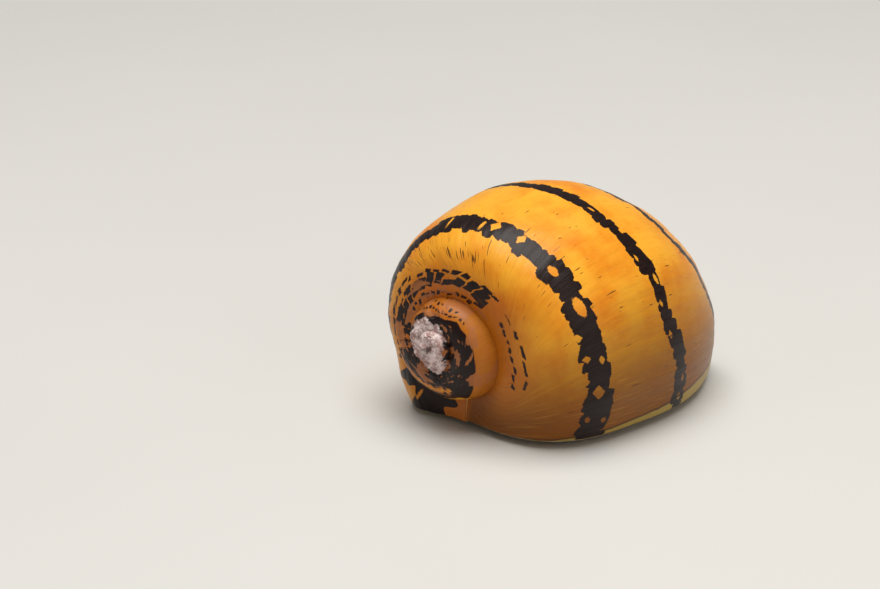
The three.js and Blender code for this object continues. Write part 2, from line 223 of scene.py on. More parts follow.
def axis_frame():
    """The axis towards the apex, outward where turning angle 0 points, and the third direction."""
    bearing = math.radians(AXIS_BEARING)
    tilt = math.radians(AXIS_TILT)
    level = math.cos(tilt)
    axis = np.array([math.cos(bearing) * level, math.sin(bearing) * level, math.sin(tilt)])
    outward = np.array([1.0, 0.0, 0.0])
    outward = outward - axis * outward.dot(axis)
    outward /= np.linalg.norm(outward)
    return axis, outward, np.cross(axis, outward)


AXIS, OUTWARD, ABOVE = axis_frame()
ACROSS = np.array([OUTWARD[0], OUTWARD[1], 0.0]) / math.hypot(OUTWARD[0], OUTWARD[1])
ALONG = np.array([AXIS[0], AXIS[1], 0.0]) / math.hypot(AXIS[0], AXIS[1])
SHELL_FOOT = SPIRAL_ORIGIN * np.array([1, 1, 0])


def smooth_step(x, low, high):
    s = np.clip((x - low) / (high - low), 0, 1)
    return s * s * (3 - 2 * s)


def outline(angle, inset=0.0):
    """The rounded outline at size 1: distance from the axis, and height along it."""
    a = np.radians(angle)
    factor = np.ones_like(a)
    for order, share in OUTLINE_COSINES.items():
        factor = factor + share * np.cos(order * a)
    for order, share in OUTLINE_SINES.items():
        factor = factor + share * np.sin(order * a)
    radius = WHORL_RADIUS * factor - inset
    return WHORL_OFFSET + radius * np.cos(a), -WHORL_DROP + radius * np.sin(a)


def section(angle, size, inset, pole_growth):
    """The whole section. Angles below SECTION_BASE run on along the curve to the base pole."""
    x, y = outline(np.maximum(angle, SECTION_BASE), inset)
    x, y = x * size, y * size
    end_x, end_y = (v * size for v in outline(np.array(float(SECTION_BASE)), inset))
    before = np.array(outline(np.array(SECTION_BASE + 0.5)))
    ahead = np.array(outline(np.array(SECTION_BASE - 0.5))) - before
    ahead = ahead / np.linalg.norm(ahead)
    pole_y = (-BASE_POLE_DROP + inset) * size ** pole_growth
    reach = np.hypot(end_x, end_y - pole_y) * BASE_LEAVING
    u = np.clip((SECTION_BASE - angle) / BASE_SPAN, 0, 1)
    v = 1 - u
    near = 3 * v * v * u
    far = 3 * v * u * u
    base_x = v**3 * end_x + near * (end_x + ahead[0] * reach) + far * end_x * BASE_FULLNESS
    base_y = v**3 * end_y + near * (end_y + ahead[1] * reach) + (far + u**3) * pole_y
    on_base = angle < SECTION_BASE
    return np.maximum(np.where(on_base, base_x, x), AXIS_GAP), np.where(on_base, base_y, y)


def grown_to(turn):
    """The turn whose size the whorl has: it shrinks again where it closes under itself."""
    closing = smooth_step(turn, BODY_END_TURN, CLOSING_END_TURN)
    return np.minimum(turn, BODY_END_TURN) * (1 - closing) + CLOSED_TO_TURN * closing


def coil_points(turn, angle, inset=0.0, pole_growth=0.0):
    x, y = section(angle, np.exp(GROWTH_RATE * grown_to(turn)), inset, pole_growth)
    c, s = np.cos(np.radians(turn)), np.sin(np.radians(turn))
    return SPIRAL_ORIGIN + (x * c)[..., None] * OUTWARD - (x * s)[..., None] * ABOVE + y[..., None] * AXIS


def in_shell(points):
    """Places in the shell's own level frame: across, along the axis, and up."""
    local = points - SHELL_FOOT
    return local @ ACROSS, local @ ALONG, points[..., 2]


def from_shell(across, along, up):
    level = SHELL_FOOT + across[..., None] * ACROSS + along[..., None] * ALONG
    return level + up[..., None] * np.array([0, 0, 1.0])


def from_head(place):
    bearing = math.radians(HEAD_BEARING)
    ahead, beside, up = place
    centre = SHELL_FOOT + HEAD_CENTRE[0] * ACROSS + HEAD_CENTRE[1] * ALONG
    turned = np.array([
        ahead * math.cos(bearing) - beside * math.sin(bearing),
        ahead * math.sin(bearing) + beside * math.cos(bearing),
        up,
    ])
    return centre + turned


def lip_height(along):
    return LIP_HEIGHT + LIP_ARCH * smooth_step(-along, LIP_ARCH_FROM, LIP_ARCH_TO)


def above_lip(points):
    _, along, up = in_shell(points)
    return up - lip_height(along)


def lip_turn(angle, inset=0.0, lift=0.0):
    """The turning angle at which the surface comes down to the lip, by halving."""
    low = np.zeros_like(angle)
    high = np.full_like(angle, float(BODY_END_TURN))
    for _ in range(30):
        middle = (low + high) / 2
        over = above_lip(coil_points(middle, angle, inset)) > lift
        low = np.where(over, middle, low)
        high = np.where(over, high, middle)
    return (low + high) / 2


def inside(px, py, ring_x, ring_y):
    """Which points lie inside a closed ring."""
    odd = np.zeros(px.shape, bool)
    next_x, next_y = np.roll(ring_x, -1), np.roll(ring_y, -1)
    for x0, y0, x1, y1 in zip(ring_x, ring_y, next_x, next_y):
        if y0 == y1:
            continue
        crosses = (y0 > py) != (y1 > py)
        odd ^= crosses & (px < (x1 - x0) * (py - y0) / (y1 - y0) + x0)
    return odd


def covered(turns, angles, pole_growth):
    """Which grid points lie well inside another turn of the coil."""
    ring_angles = np.linspace(SECTION_TOP, SECTION_BASE - BASE_SPAN, 90)
    hidden = np.zeros((len(turns), len(angles)), bool)
    for row, turn in enumerate(turns):
        x, y = section(angles, np.exp(GROWTH_RATE * grown_to(turn)), 0.0, pole_growth)
        for lap in (-720, -360, 360, 720):
            other = turn + lap
            if not APEX_TURN < other < CLOSING_END_TURN:
                continue
            size = math.exp(GROWTH_RATE * float(grown_to(np.array(float(other)))))
            other_pole_growth = 1.0 if other < BODY_START_TURN else 0.0
            ring_x, ring_y = section(ring_angles, size, 0.06, other_pole_growth)
            ring_x = np.append(ring_x, [0.0, 0.0])
            ring_y = np.append(ring_y, [ring_y[-1], ring_y[0]])
            hidden[row] |= inside(x, y, ring_x, ring_y)
    return hidden


def grid_normals(points):
    across = np.gradient(points, axis=0)
    down = np.gradient(points, axis=1)
    normals = np.cross(across, down)
    length = np.linalg.norm(normals, axis=-1, keepdims=True)
    return normals / np.maximum(length, 1e-9)


def relief(growth, angle):
    """How far the surface stands proud in millimetres: low growth ridges and a soft unevenness."""
    random = np.random.default_rng(RANDOM_SEED)
    height = np.zeros_like(growth)
    for per_degree, amount in ((0.035, 0.03), (0.08, 0.012), (0.21, 0.006), (0.5, 0.003)):
        phase, lean = random.uniform(0, 2 * math.pi, 2)
        sway = 0.9 * np.sin(np.radians(angle) * 2 + lean)
        height += amount * np.sin(2 * math.pi * per_degree * growth + sway + phase)
    return height


def block_edges(growth, half, random):
    """An edge that jumps from block to block, leans within each block, and is nicked between blocks."""
    warped = (growth + 1.1 * np.sin(growth * 0.31)) / BLOCK_LENGTH + 400
    block = np.floor(warped).astype(int) % BLOCK_COUNT
    within = warped - np.floor(warped) - 0.5
    jump = random.uniform(-1, 1, BLOCK_COUNT)[block]
    lean = random.uniform(-0.6, 1, BLOCK_COUNT)[block]
    border = np.round(warped).astype(int) % BLOCK_COUNT
    depth = NICK_SHARE * half * random.uniform(-0.4, 1, BLOCK_COUNT).clip(0, 1)[border]
    nick = depth * np.exp(-((np.abs(within) - 0.5) / NICK_WIDTH) ** 2)
    return EDGE_JITTER * (jump + 1.2 * lean * within), nick


def band_field(turn, angle, growth, band, openings, seed):
    """A spiral band with ragged edges and bare openings: above zero inside it, in degrees."""
    random = np.random.default_rng(seed)
    turns, middles, half = band
    middle = np.interp(turn, turns, middles)
    top, top_nick = block_edges(growth, half, random)
    bottom, bottom_nick = block_edges(growth, half, random)
    below_top = middle + half + top - top_nick - angle
    above_bottom = angle - middle + half - bottom - bottom_nick
    field = np.minimum(below_top, above_bottom)
    for at_turn, at_angle, length, width, pointed in openings:
        u = np.abs(turn - at_turn) / length
        v = np.abs(angle - at_angle) / width
        reach = u + v if pointed else np.hypot(u, v)
        field = np.minimum(field, (reach - 1) * min(length, width))
    return field


def dash_field(turn, angle, row, seed):
    """A row of short dashes of uneven length, thickness and lean."""
    random = np.random.default_rng(seed)
    middle, half, period, share, first, last = row
    count = int((last - first) / period) + 3
    leaned = turn + DASH_LEAN * (angle - middle) + 0.6 * np.sin(angle * 1.7 + turn * 0.4)
    place = np.clip((leaned - first) / period, 0, count - 1.001)
    dash = np.floor(place).astype(int)
    within = (place - dash - 0.5) * period
    length = share * random.uniform(0.35, 0.53, count)[dash] * period
    thick = half * random.uniform(0.5, 1.3, count)[dash]
    offset = half * random.uniform(-0.6, 0.6, count)[dash]
    lean = random.uniform(-0.12, 0.22, count)[dash]
    along = length - np.abs(within)
    across = thick - np.abs(angle - middle - offset - lean * within)
    return np.minimum.reduce([along * 0.7, across, turn - first, last - turn])


def ink_field(turn, angle, growth):
    """The dark pattern of the shell. It stops a little short of the lip."""
    fields = [
        band_field(turn, angle, growth, UPPER_BAND, UPPER_OPENINGS, 3),
        band_field(turn, angle, growth, MIDDLE_BAND, MIDDLE_OPENINGS, 5),
        band_field(turn, angle, growth, LOWER_BAND, (), 7),
    ]
    fields += [dash_field(turn, angle, row, seed) for seed, row in enumerate(DASH_ROWS, 20)]
    blotches = band_field(turn, angle, growth, BLOTCH_BAND, (), 19)
    fields.append(np.minimum(blotches, BLOTCH_END_TURN - turn))
    ink = np.maximum.reduce(fields)
    ink = np.where(turn > 62, np.minimum(ink, INK_END_TURN - turn), ink)
    side = turn - CLOSING_INK_TURN + 4 * np.sin(angle * 0.45) + 2.5 * np.sin(angle * 1.1 + 1)
    wave = 4 * np.sin(turn * 0.33 + angle * 0.2) + 1.5 * np.sin(turn * 0.9)
    closing = np.minimum(side, (angle - CLOSING_INK_ANGLE) * 0.5 + wave)
    return np.maximum(ink, closing)


def spire_ink_field(turn, from_axis):
    """The spire is dark about the tip and rusty beyond, with rows of dashes around the dark part."""
    beyond = (from_axis - np.interp(turn, *DARK_ZONE)) * DEGREES_PER_MM
    rows = [dash_field(turn, beyond, row, seed) for seed, row in enumerate(SPIRE_DASH_ROWS, 50)]
    return np.maximum.reduce([-beyond] + rows)


class Sheet:
    """Points with named values, and the faces between them."""

    def __init__(self, points, values, quads, polygons=()):
        self.points = points
        self.values = values
        self.quads = quads
        self.polygons = list(polygons)

    def cut(self, field):
        """The part where the field is above zero."""
        above = field > 0
        count = above[self.quads].sum(1)
        whole = self.quads[count == 4]
        crossings = {}
        starts, ends, shares = [], [], []
        polygons = []
        for quad in self.quads[(count > 0) & (count < 4)].tolist():
            ring = []
            for a, b in zip(quad, quad[1:] + quad[:1]):
                if above[a]:
                    ring.append(a)
                if above[a] != above[b]:
                    key = (min(a, b), max(a, b))
                    if key not in crossings:
                        crossings[key] = len(self.points) + len(starts)
                        starts.append(key[0])
                        ends.append(key[1])
                        shares.append(field[key[0]] / (field[key[0]] - field[key[1]]))
                    ring.append(crossings[key])
            polygons.append(ring)
        share = np.array(shares)

        def extended(array):
            if not starts:
                return array
            weight = share[:, None] if array.ndim > 1 else share
            return np.concatenate([array, array[starts] * (1 - weight) + array[ends] * weight])

        values = {name: extended(array) for name, array in self.values.items()}
        return Sheet(extended(self.points), values, whole, polygons)

    def object(self, name, material):
        used = np.zeros(len(self.points), bool)
        used[self.quads.ravel()] = True
        for ring in self.polygons:
            used[ring] = True
        new_index = np.cumsum(used) - 1
        faces = new_index[self.quads].tolist() + [new_index[ring].tolist() for ring in self.polygons]
        mesh = bpy.data.meshes.new(name)
        mesh.from_pydata((self.points[used] * MM).tolist(), [], faces)
        for value_name, array in self.values.items():
            store(mesh, value_name, array[used])
        return finished_object(name, mesh, material)


def store(mesh, name, values):
    """Keep one number for each point of a mesh, for its material."""
    attribute = mesh.attributes.new(name, "FLOAT", "POINT")
    attribute.data.foreach_set("value", values.astype(np.float32))


def finished_object(name, mesh, material):
    mesh.validate()
    mesh.shade_smooth()
    mesh.materials.clear()
    mesh.materials.append(material)
    obj = bpy.data.objects.new(name, mesh)
    bpy.context.scene.collection.objects.link(obj)
    return obj


def grid_quads(rows, columns):
    index = np.arange(rows * columns).reshape(rows, columns)
    corners = (index[:-1, :-1], index[:-1, 1:], index[1:, 1:], index[1:, :-1])
    return np.stack([corner.ravel() for corner in corners], axis=1)


def grid_object(name, points, material):
    quads = grid_quads(*points.shape[:2])
    return Sheet(points.reshape(-1, 3), {}, quads).object(name, material)


def growth_of(turn, angle):
    """How many degrees of turn a place is from the lip: below zero on the shell, zero at the lip."""
    samples = np.linspace(SECTION_TOP, SECTION_BASE - BASE_SPAN, 270)
    turns = lip_turn(samples)
    eased = np.convolve(np.pad(turns, 7, mode="edge"), np.ones(15) / 15, mode="valid")
    return turn - np.interp(-angle, -samples, eased)


def bumps(points, per_mm, octaves=4):
    """A rough noise at each point, about -1 to 1."""
    scaled = (points * per_mm).tolist()
    basis = "PERLIN_ORIGINAL"
    return np.array([noise.fractal(point, 0.6, 2.1, octaves, noise_basis=basis) for point in scaled])


def coil_sheet(first_turn, last_turn, step, pole_growth):
    """A stretch of the coil's surface, with the values that its pattern and colours need."""
    turns = np.linspace(first_turn, last_turn, round((last_turn - first_turn) / step[0]) + 1)
    last_angle = SECTION_BASE - BASE_SPAN
    angles = np.linspace(SECTION_TOP, last_angle, round((SECTION_TOP - last_angle) / step[1]) + 1)
    turn, angle = np.meshgrid(turns, angles, indexing="ij")
    points = coil_points(turn, angle, 0.0, pole_growth)
    growth = growth_of(turn, angle)
    size = np.exp(GROWTH_RATE * grown_to(turn))
    fade = smooth_step(angle, last_angle, SECTION_BASE) * (1 - smooth_step(angle, 60, 95))
    height = relief(growth, angle) * size * fade
    if pole_growth:
        height = height - JOINT_DEPTH * (turn > BODY_START_TURN)
    points = points + grid_normals(points) * height[..., None]
    local = points - SPIRAL_ORIGIN
    from_axis = np.hypot(local @ OUTWARD, local @ ABOVE)
    ink = ink_field(turn, angle, growth) if pole_growth == 0 else spire_ink_field(turn, from_axis)
    quads = grid_quads(len(turns), len(angles))
    hidden = covered(turns, angles, pole_growth).ravel()
    quads = quads[~hidden[quads].all(axis=1)]
    across, _, _ = in_shell(points)
    on_lip_side = smooth_step(across, 0.2, 1.4) * (turn < BODY_END_TURN)
    from_patch = points - PATCH_MIDDLE
    spread = np.hypot((from_patch @ ACROSS) / PATCH_HALF_SIZE[0], from_patch[..., 2] / PATCH_HALF_SIZE[1])
    worn = np.where(local @ AXIS > -7, 1 - spread, -5)
    values = {
        "turn": turn,
        "section": angle,
        "growth": np.where(turn > 0, growth * on_lip_side - 60 * (1 - on_lip_side), growth),
        "ink": ink,
        "rest": (growth + np.interp(angle, *REST_LINE)) * on_lip_side - 20 * (1 - on_lip_side),
        "from_axis": from_axis,
        "worn": worn,
    }
    return Sheet(points.reshape(-1, 3), {name: value.ravel() for name, value in values.items()}, quads)


class Number:
    """A number in a material's nodes, with ordinary arithmetic."""

    def __init__(self, tree, socket):
        self.tree = tree
        self.socket = socket

    def math(self, operation, *others):
        node = self.tree.nodes.new("ShaderNodeMath")
        node.operation = operation
        for socket, value in zip(node.inputs, (self, *others)):
            plug(self.tree, socket, value)
        return Number(self.tree, node.outputs[0])

    def __add__(self, other):
        return self.math("ADD", other)

    def __sub__(self, other):
        return self.math("SUBTRACT", other)

    def __mul__(self, other):
        return self.math("MULTIPLY", other)

    def __neg__(self):
        return self.math("MULTIPLY", -1.0)

    def smooth(self, low, high):
        """0 below low, 1 above high, and smooth between."""
        node = self.tree.nodes.new("ShaderNodeMapRange")
        node.interpolation_type = "SMOOTHSTEP"
        plug(self.tree, node.inputs["Value"], self)
        node.inputs["From Min"].default_value = low
        node.inputs["From Max"].default_value = high
        return Number(self.tree, node.outputs["Result"])


def plug(tree, socket, value):
    if isinstance(value, Number):
        tree.links.new(value.socket, socket)
    else:
        socket.default_value = value


class Surface:
    """A material, its shader and the nodes that feed it."""

    def __init__(self, name, **constants):
        self.material = bpy.data.materials.new(name)
        self.material.use_nodes = True
        self.tree = self.material.node_tree
        self.shader = self.tree.nodes["Principled BSDF"]
        for socket, value in constants.items():
            self.shader.inputs[socket.replace("_", " ")].default_value = value

    def attribute(self, name):
        node = self.tree.nodes.new("ShaderNodeAttribute")
        node.attribute_name = name
        return Number(self.tree, node.outputs["Fac"])

    def place(self):
        """The object's own coordinates in millimetres, as three numbers."""
        coordinates = self.tree.nodes.new("ShaderNodeTexCoord")
        split = self.tree.nodes.new("ShaderNodeSeparateXYZ")
        self.tree.links.new(coordinates.outputs["Object"], split.inputs[0])
        return [Number(self.tree, split.outputs[i]) * (1 / MM) for i in range(3)]

    def vector(self, numbers):
        node = self.tree.nodes.new("ShaderNodeCombineXYZ")
        for socket, value in zip(node.inputs, numbers):
            plug(self.tree, socket, value)
        return node.outputs[0]

    def noise(self, numbers, scale, detail=3.0, roughness=0.55):
        node = self.tree.nodes.new("ShaderNodeTexNoise")
        self.tree.links.new(self.vector(numbers), node.inputs["Vector"])
        node.inputs["Scale"].default_value = scale
        node.inputs["Detail"].default_value = detail
        node.inputs["Roughness"].default_value = roughness
        return Number(self.tree, node.outputs["Fac"])

    def cells(self, numbers, scale):
        node = self.tree.nodes.new("ShaderNodeTexVoronoi")
        self.tree.links.new(self.vector(numbers), node.inputs["Vector"])
        node.inputs["Scale"].default_value = scale
        return Number(self.tree, node.outputs["Distance"])

    def mix(self, share, first, second):
        """A colour between two, as a socket. Colours are sockets or red, green and blue."""
        node = self.tree.nodes.new("ShaderNodeMix")
        node.data_type = "RGBA"
        plug(self.tree, node.inputs[0], share)
        for socket, colour in ((node.inputs[6], first), (node.inputs[7], second)):
            if isinstance(colour, tuple):
                socket.default_value = (*colour, 1)
            else:
                self.tree.links.new(colour, socket)
        return node.outputs[2]

    def colour(self, socket):
        self.tree.links.new(socket, self.shader.inputs["Base Color"])

    def roughness(self, number):
        self.tree.links.new(number.socket, self.shader.inputs["Roughness"])

    def bump(self, height, depth_mm):
        node = self.tree.nodes.new("ShaderNodeBump")
        node.inputs["Strength"].default_value = 1.0
        node.inputs["Distance"].default_value = depth_mm * MM
        self.tree.links.new(height.socket, node.inputs["Height"])
        self.tree.links.new(node.outputs[0], self.shader.inputs["Normal"])


def shell_material():
    s = Surface("nerite_shell", Coat_Weight=0.05, Coat_Roughness=0.12, Specular_IOR_Level=0.17)
    growth, angle, turn = s.attribute("growth"), s.attribute("section"), s.attribute("turn")
    ink, rest, from_axis = s.attribute("ink"), s.attribute("rest"), s.attribute("from_axis")
    worn_field = s.attribute("worn")
    place = s.place()

    cloud = s.noise(place, 0.35)
    streak = s.noise((growth * 0.9, angle * 0.05, 0.0), 1.0, 4.0)
    fine = s.noise((growth * 3.2, angle * 0.10, 5.0), 1.0, 2.0)
    ragged = s.noise((growth * 0.9, angle * 0.55, 9.0), 1.0, 3.0)

    gold, amber, rust = (0.83, 0.375, 0.026), (0.72, 0.220, 0.009), (0.42, 0.092, 0.004)
    olive_low_shade, pale = (0.15, 0.042, 0.001), (0.46, 0.33, 0.07)
    base = s.mix(cloud.smooth(0.35, 0.75), gold, amber)
    base = s.mix((angle + cloud * 18).smooth(58, 92) * 0.8, base, rust)
    # Painted shade: the shell darkens towards a deep olive-brown near the lip, where it sits low by the
    # floor. This is mostly painted shade of the low side, over a little real olive-brown tone.
    base = s.mix((growth + streak * 14).smooth(-60, -4) * 0.90, base, olive_low_shade)
    base = s.mix((-turn).smooth(289, 293) * 0.8, base, (0.36, 0.095, 0.010))
    glaze = turn.smooth(86, 112) * angle.smooth(62, 20)
    mottle = s.noise(place, 1.1, 4.0, 0.6)
    film = glaze * (cloud.smooth(0.30, 0.70) * 0.40 + mottle.smooth(0.35, 0.65) * 0.30 + 0.10)
    base = s.mix(film, base, (0.76, 0.44, 0.13))
    lines = s.noise((turn * 1.3, angle * 0.12, 33.0), 1.0, 3.0)
    base = s.mix(glaze * lines.smooth(0.52, 0.68) * 0.45, base, (0.42, 0.135, 0.012))
    base = s.mix(streak.smooth(0.50, 0.80) * 0.25, base, (0.90, 0.44, 0.045))
    base = s.mix(fine.smooth(0.54, 0.72) * 0.32, base, rust)

    # Short hair lines along the growth, thickest in number near the dashes.
    hair = s.noise((growth * 0.95, angle * 0.10, 21.0), 1.0, 1.0)
    near_rows = (angle - 64).math("ABSOLUTE").smooth(10, 4)
    near_rows = near_rows * (turn + 98).math("ABSOLUTE").smooth(46, 22)
    hairs = (hair + near_rows * 0.10).smooth(0.715, 0.745) * (turn + 215).smooth(0, 20)
    base = s.mix(hairs * 0.9, base, (0.07, 0.02, 0.006))
    specks = s.cells(place, 2.1).smooth(0.085, 0.055) * s.noise(place, 0.8).smooth(0.48, 0.56)
    base = s.mix(specks * 0.8, base, (0.12, 0.035, 0.012))

    # The rest line, and the thin olive rim beyond it.
    wobble = (s.noise((angle * 0.16, 3.0, 0.0), 1.0) - 0.5) * 1.2
    base = s.mix((rest + wobble).smooth(-0.2, 0.6) * 0.75, base, pale)
    line = (rest + wobble).math("ABSOLUTE").smooth(0.75, 0.30)
    base = s.mix(line * 0.85, base, (0.075, 0.030, 0.008))

    # The dark pattern, with finer stripes inside it.
    dark = (ink + (ragged - 0.5) * 1.6).smooth(-0.22, 0.22)
    in_band = s.mix(fine.smooth(0.35, 0.75), (0.0060, 0.0025, 0.0022), (0.024, 0.009, 0.007))
    in_band = s.mix(ragged.smooth(0.58, 0.85) * 0.4, in_band, (0.08, 0.030, 0.016))
    base = s.mix(dark, base, in_band)

    # The worn tip: rusty crescents, then chalky pink and white with dark pits.
    arcs = s.noise((turn * 0.035, from_axis * 2.3, 0.0), 1.0, 2.0)
    crescents = arcs.smooth(0.53, 0.58) * from_axis.smooth(4.3, 3.5) * worn_field.smooth(-3.0, -1.8)
    base = s.mix(crescents * 0.85, base, (0.40, 0.135, 0.040))
    edge = s.noise(place, 1.2, 4.0, 0.65)
    worn = (worn_field + (edge - 0.5) * 0.9).smooth(-0.03, 0.05)
    pink, white = (0.40, 0.235, 0.21), (0.85, 0.70, 0.68)
    chalk = s.mix(s.noise(place, 2.2, 5.0, 0.7).smooth(0.36, 0.62), pink, white)
    pits = s.noise(place, 5.5, 4.0, 0.7)
    chalk = s.mix(pits.smooth(0.60, 0.68), chalk, (0.05, 0.028, 0.024))
    base = s.mix(worn, base, chalk)
    s.colour(base)

    s.roughness(worn * 0.4 + (fine - 0.5) * 0.16 + 0.33)
    ridges = fine * 0.35 + streak * 0.5 + s.noise((growth * 9.0, angle * 0.3, 2.0), 1.0, 2.0) * 0.15
    s.bump(ridges + worn * (pits * 3.0) + line * -0.6, 0.03)
    return s.material


def callus_material():
    s = Surface("callus", Coat_Weight=0.5, Coat_Roughness=0.08)
    place = s.place()
    cloud = s.noise(place, 0.6, 4.0)
    base = s.mix(cloud.smooth(0.35, 0.7), (0.76, 0.60, 0.36), (0.66, 0.36, 0.10))
    base = s.mix(s.noise(place, 2.2).smooth(0.62, 0.75) * 0.4, base, (0.28, 0.12, 0.05))
    s.colour(base)
    s.roughness((cloud - 0.5) * 0.2 + 0.25)
    s.bump(s.noise(place, 3.0, 4.0), 0.03)
    return s.material


def flesh_material():
    s = Surface(
        "flesh",
        Coat_Weight=0.45,
        Coat_Roughness=0.2,
        Subsurface_Weight=0.12,
        Subsurface_Scale=0.0008,
        Subsurface_Radius=(1.0, 0.5, 0.3),
    )
    place = s.place()
    mottle = s.noise(place, 1.3, 5.0, 0.65)
    spots = s.cells(place, 3.2)
    base = s.mix(mottle.smooth(0.36, 0.66), (0.115, 0.080, 0.050), (0.30, 0.22, 0.135))
    base = s.mix(spots.smooth(0.36, 0.16) * 0.55, base, (0.035, 0.024, 0.018))
    base = s.mix(place[2].smooth(0.42, 0.05) * 0.7, base, (0.46, 0.37, 0.25))
    feeler = s.attribute("feeler")
    rings = s.noise((s.attribute("along") * 6.0, 1.0, 0.0), 1.0, 2.0)
    base = s.mix(feeler * rings.smooth(0.50, 0.60) * 0.85, base, (0.022, 0.016, 0.014))
    base = s.mix(s.attribute("mouth") * 0.8, base, (0.20, 0.075, 0.055))
    s.colour(base)
    s.roughness((mottle - 0.5) * 0.3 + 0.38)
    s.bump(s.noise(place, 5.0, 4.0, 0.6) + s.cells(place, 4.5) * 0.8, 0.05)
    return s.material


def lid_material():
    s = Surface("lid", Coat_Weight=0.3, Coat_Roughness=0.15)
    place = s.place()
    low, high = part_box("operculum")
    x = place[0] - (low.x / MM + 1.2)
    y = place[1] - high.y / MM
    distance = (x * x + y * y).math("SQRT")
    rings = s.noise((distance * 3.0, 0.0, 0.0), 1.0, 3.0)
    base = s.mix(rings.smooth(0.35, 0.65), (0.58, 0.40, 0.24), (0.30, 0.16, 0.08))
    base = s.mix(distance.smooth(3.0, 4.2) * 0.7, base, (0.09, 0.045, 0.028))
    s.colour(base)
    s.roughness((rings - 0.5) * 0.2 + 0.35)
    s.bump(rings + s.noise(place, 4.0) * 0.3, 0.05)
    return s.material


def eye_material():
    s = Surface("eye", Coat_Weight=1.0, Coat_Roughness=0.03)
    height = s.attribute("height")
    mottle = s.noise(s.place(), 14.0)
    base = s.mix(height.smooth(0.35, 0.55), (0.30, 0.22, 0.13), (0.004, 0.004, 0.005))
    ring = (height + mottle * 0.2).smooth(0.50, 0.60) * (-height).smooth(-0.80, -0.66)
    base = s.mix(ring * 0.5, base, (0.12, 0.07, 0.03))
    s.colour(base)
    s.roughness(height * -0.3 + 0.42)
    s.bump(mottle * (-height).smooth(-0.6, -0.3), 0.02)
    return s.material


def floor_material():
    s = Surface("floor")
    x, y, _ = s.place()
    cloud = s.noise((x, y, 0.0), 0.02, 3.0)
    s.colour(s.mix(cloud, (0.56, 0.55, 0.53), (0.60, 0.59, 0.57)))
    s.roughness(cloud * 0.1 + 0.6)
    return s.material


def shell_pieces():
    """The coil's surface in five pieces, one for each plate of the solid model."""
    shell = shell_material()
    body = coil_sheet(BODY_START_TURN, CLOSING_END_TURN, BODY_STEP, 0.0)
    spire = coil_sheet(APEX_TURN, BODY_START_TURN + JOINT_LAP, SPIRE_STEP, 1.0)
    for sheet in (body, spire):
        worn = sheet.values["worn"]
        close = np.flatnonzero(worn > -0.6)
        share = smooth_step(worn[close], -0.5, 0.1)
        sheet.points[close] += (bumps(sheet.points[close], 1.5) * 0.15 * share)[:, None] * AXIS

    across, along, up = in_shell(body.points)
    over_lip = up - lip_height(along)
    lip_side = across > DECK_EDGE
    deck_side = ~lip_side & (along < DECK_APEX_END)
    start = np.where(lip_side, LIP_BAND, np.where(deck_side, DECK_TOP - lip_height(along), 0.0))
    body_object = body.cut(over_lip - start).object("shell_body_whorl_surface", shell)
    lip = body.cut(np.where(lip_side, np.minimum(start - over_lip, over_lip - LIP_ROUND), -1.0))
    lip_object = lip.object("shell_outer_lip_band", shell)
    deck = body.cut(np.where(deck_side, np.minimum(start - over_lip, over_lip), -1.0))
    deck_object = deck.object("shell_columellar_deck_side", shell)
    from_axis = spire.values["from_axis"]
    spire_object = spire.cut(from_axis - ERODED_RADIUS).object("shell_spire_surface", shell)
    apex_object = spire.cut(ERODED_RADIUS - from_axis).object("shell_apex_surface", shell)
    for obj, node, slot in (
        (body_object, "shell_body_whorl", "shell"),
        (lip_object, "shell_outer_lip", "lip"),
        (deck_object, "shell_columellar_deck", "deck"),
        (spire_object, "shell_spire", "shell"),
        (apex_object, "shell_apex", "worn_apex"),
    ):
        shown(obj, slot, node)


def shown(obj, slot, *nodes):
    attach(obj, "root")
    if nodes:
        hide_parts(*nodes)


def rounded_lip():
    """The lip's rounded edge, and the smooth wall behind it."""
    angles = np.linspace(SECTION_TOP - 20, SECTION_BASE - BASE_SPAN, 900)
    outer = coil_points(lip_turn(angles, 0.0, LIP_ROUND), angles, 0.0)
    across, _, _ = in_shell(outer)
    keep = across > DECK_EDGE
    angles = angles[keep]
    outer = outer[keep]
    inner = coil_points(lip_turn(angles, WALL, LIP_ROUND), angles, WALL)
    rows = []
    for share in np.linspace(0, 1, 13):
        row = outer * (1 - share) + inner * share
        row[:, 2] -= LIP_ROUND * math.sin(math.pi * share) ** 0.6
        rows.append(row)
    for lift in np.linspace(0, 1, 12)[1:]:
        height = LIP_ROUND + lift * INNER_WALL_HEIGHT
        rows.append(coil_points(lip_turn(angles, WALL, height), angles, WALL))
    shown(grid_object("shell_outer_lip_edge", np.stack(rows), callus_material()), "lip")


def deck_rim():
    """The deck's outline at the height of the lip, and its straight edge beside the mouth."""
    angles = np.linspace(SECTION_TOP - 20, SECTION_BASE - BASE_SPAN, 700)
    low = np.full_like(angles, float(BODY_END_TURN))
    high = np.full_like(angles, float(CLOSING_END_TURN))
    reaches = above_lip(coil_points(low, angles)) < 0
    for _ in range(30):
        middle = (low + high) / 2
        under = above_lip(coil_points(middle, angles)) < 0
        low = np.where(under, middle, low)
        high = np.where(under, high, middle)
    closing_rim = coil_points(low, angles)[reaches]
    lip_rim = coil_points(lip_turn(angles), angles)[reaches]
    across, along, _ = in_shell(np.vstack([closing_rim, lip_rim]))
    on_deck = across < DECK_EDGE
    across, along = across[on_deck], along[on_deck]
    at_edge = along[across > DECK_EDGE - 0.3]
    edge_along = np.linspace(at_edge.min(), at_edge.max(), 160)
    across = np.append(across, np.full_like(edge_along, DECK_EDGE))
    along = np.append(along, edge_along)
    return across, along, edge_along


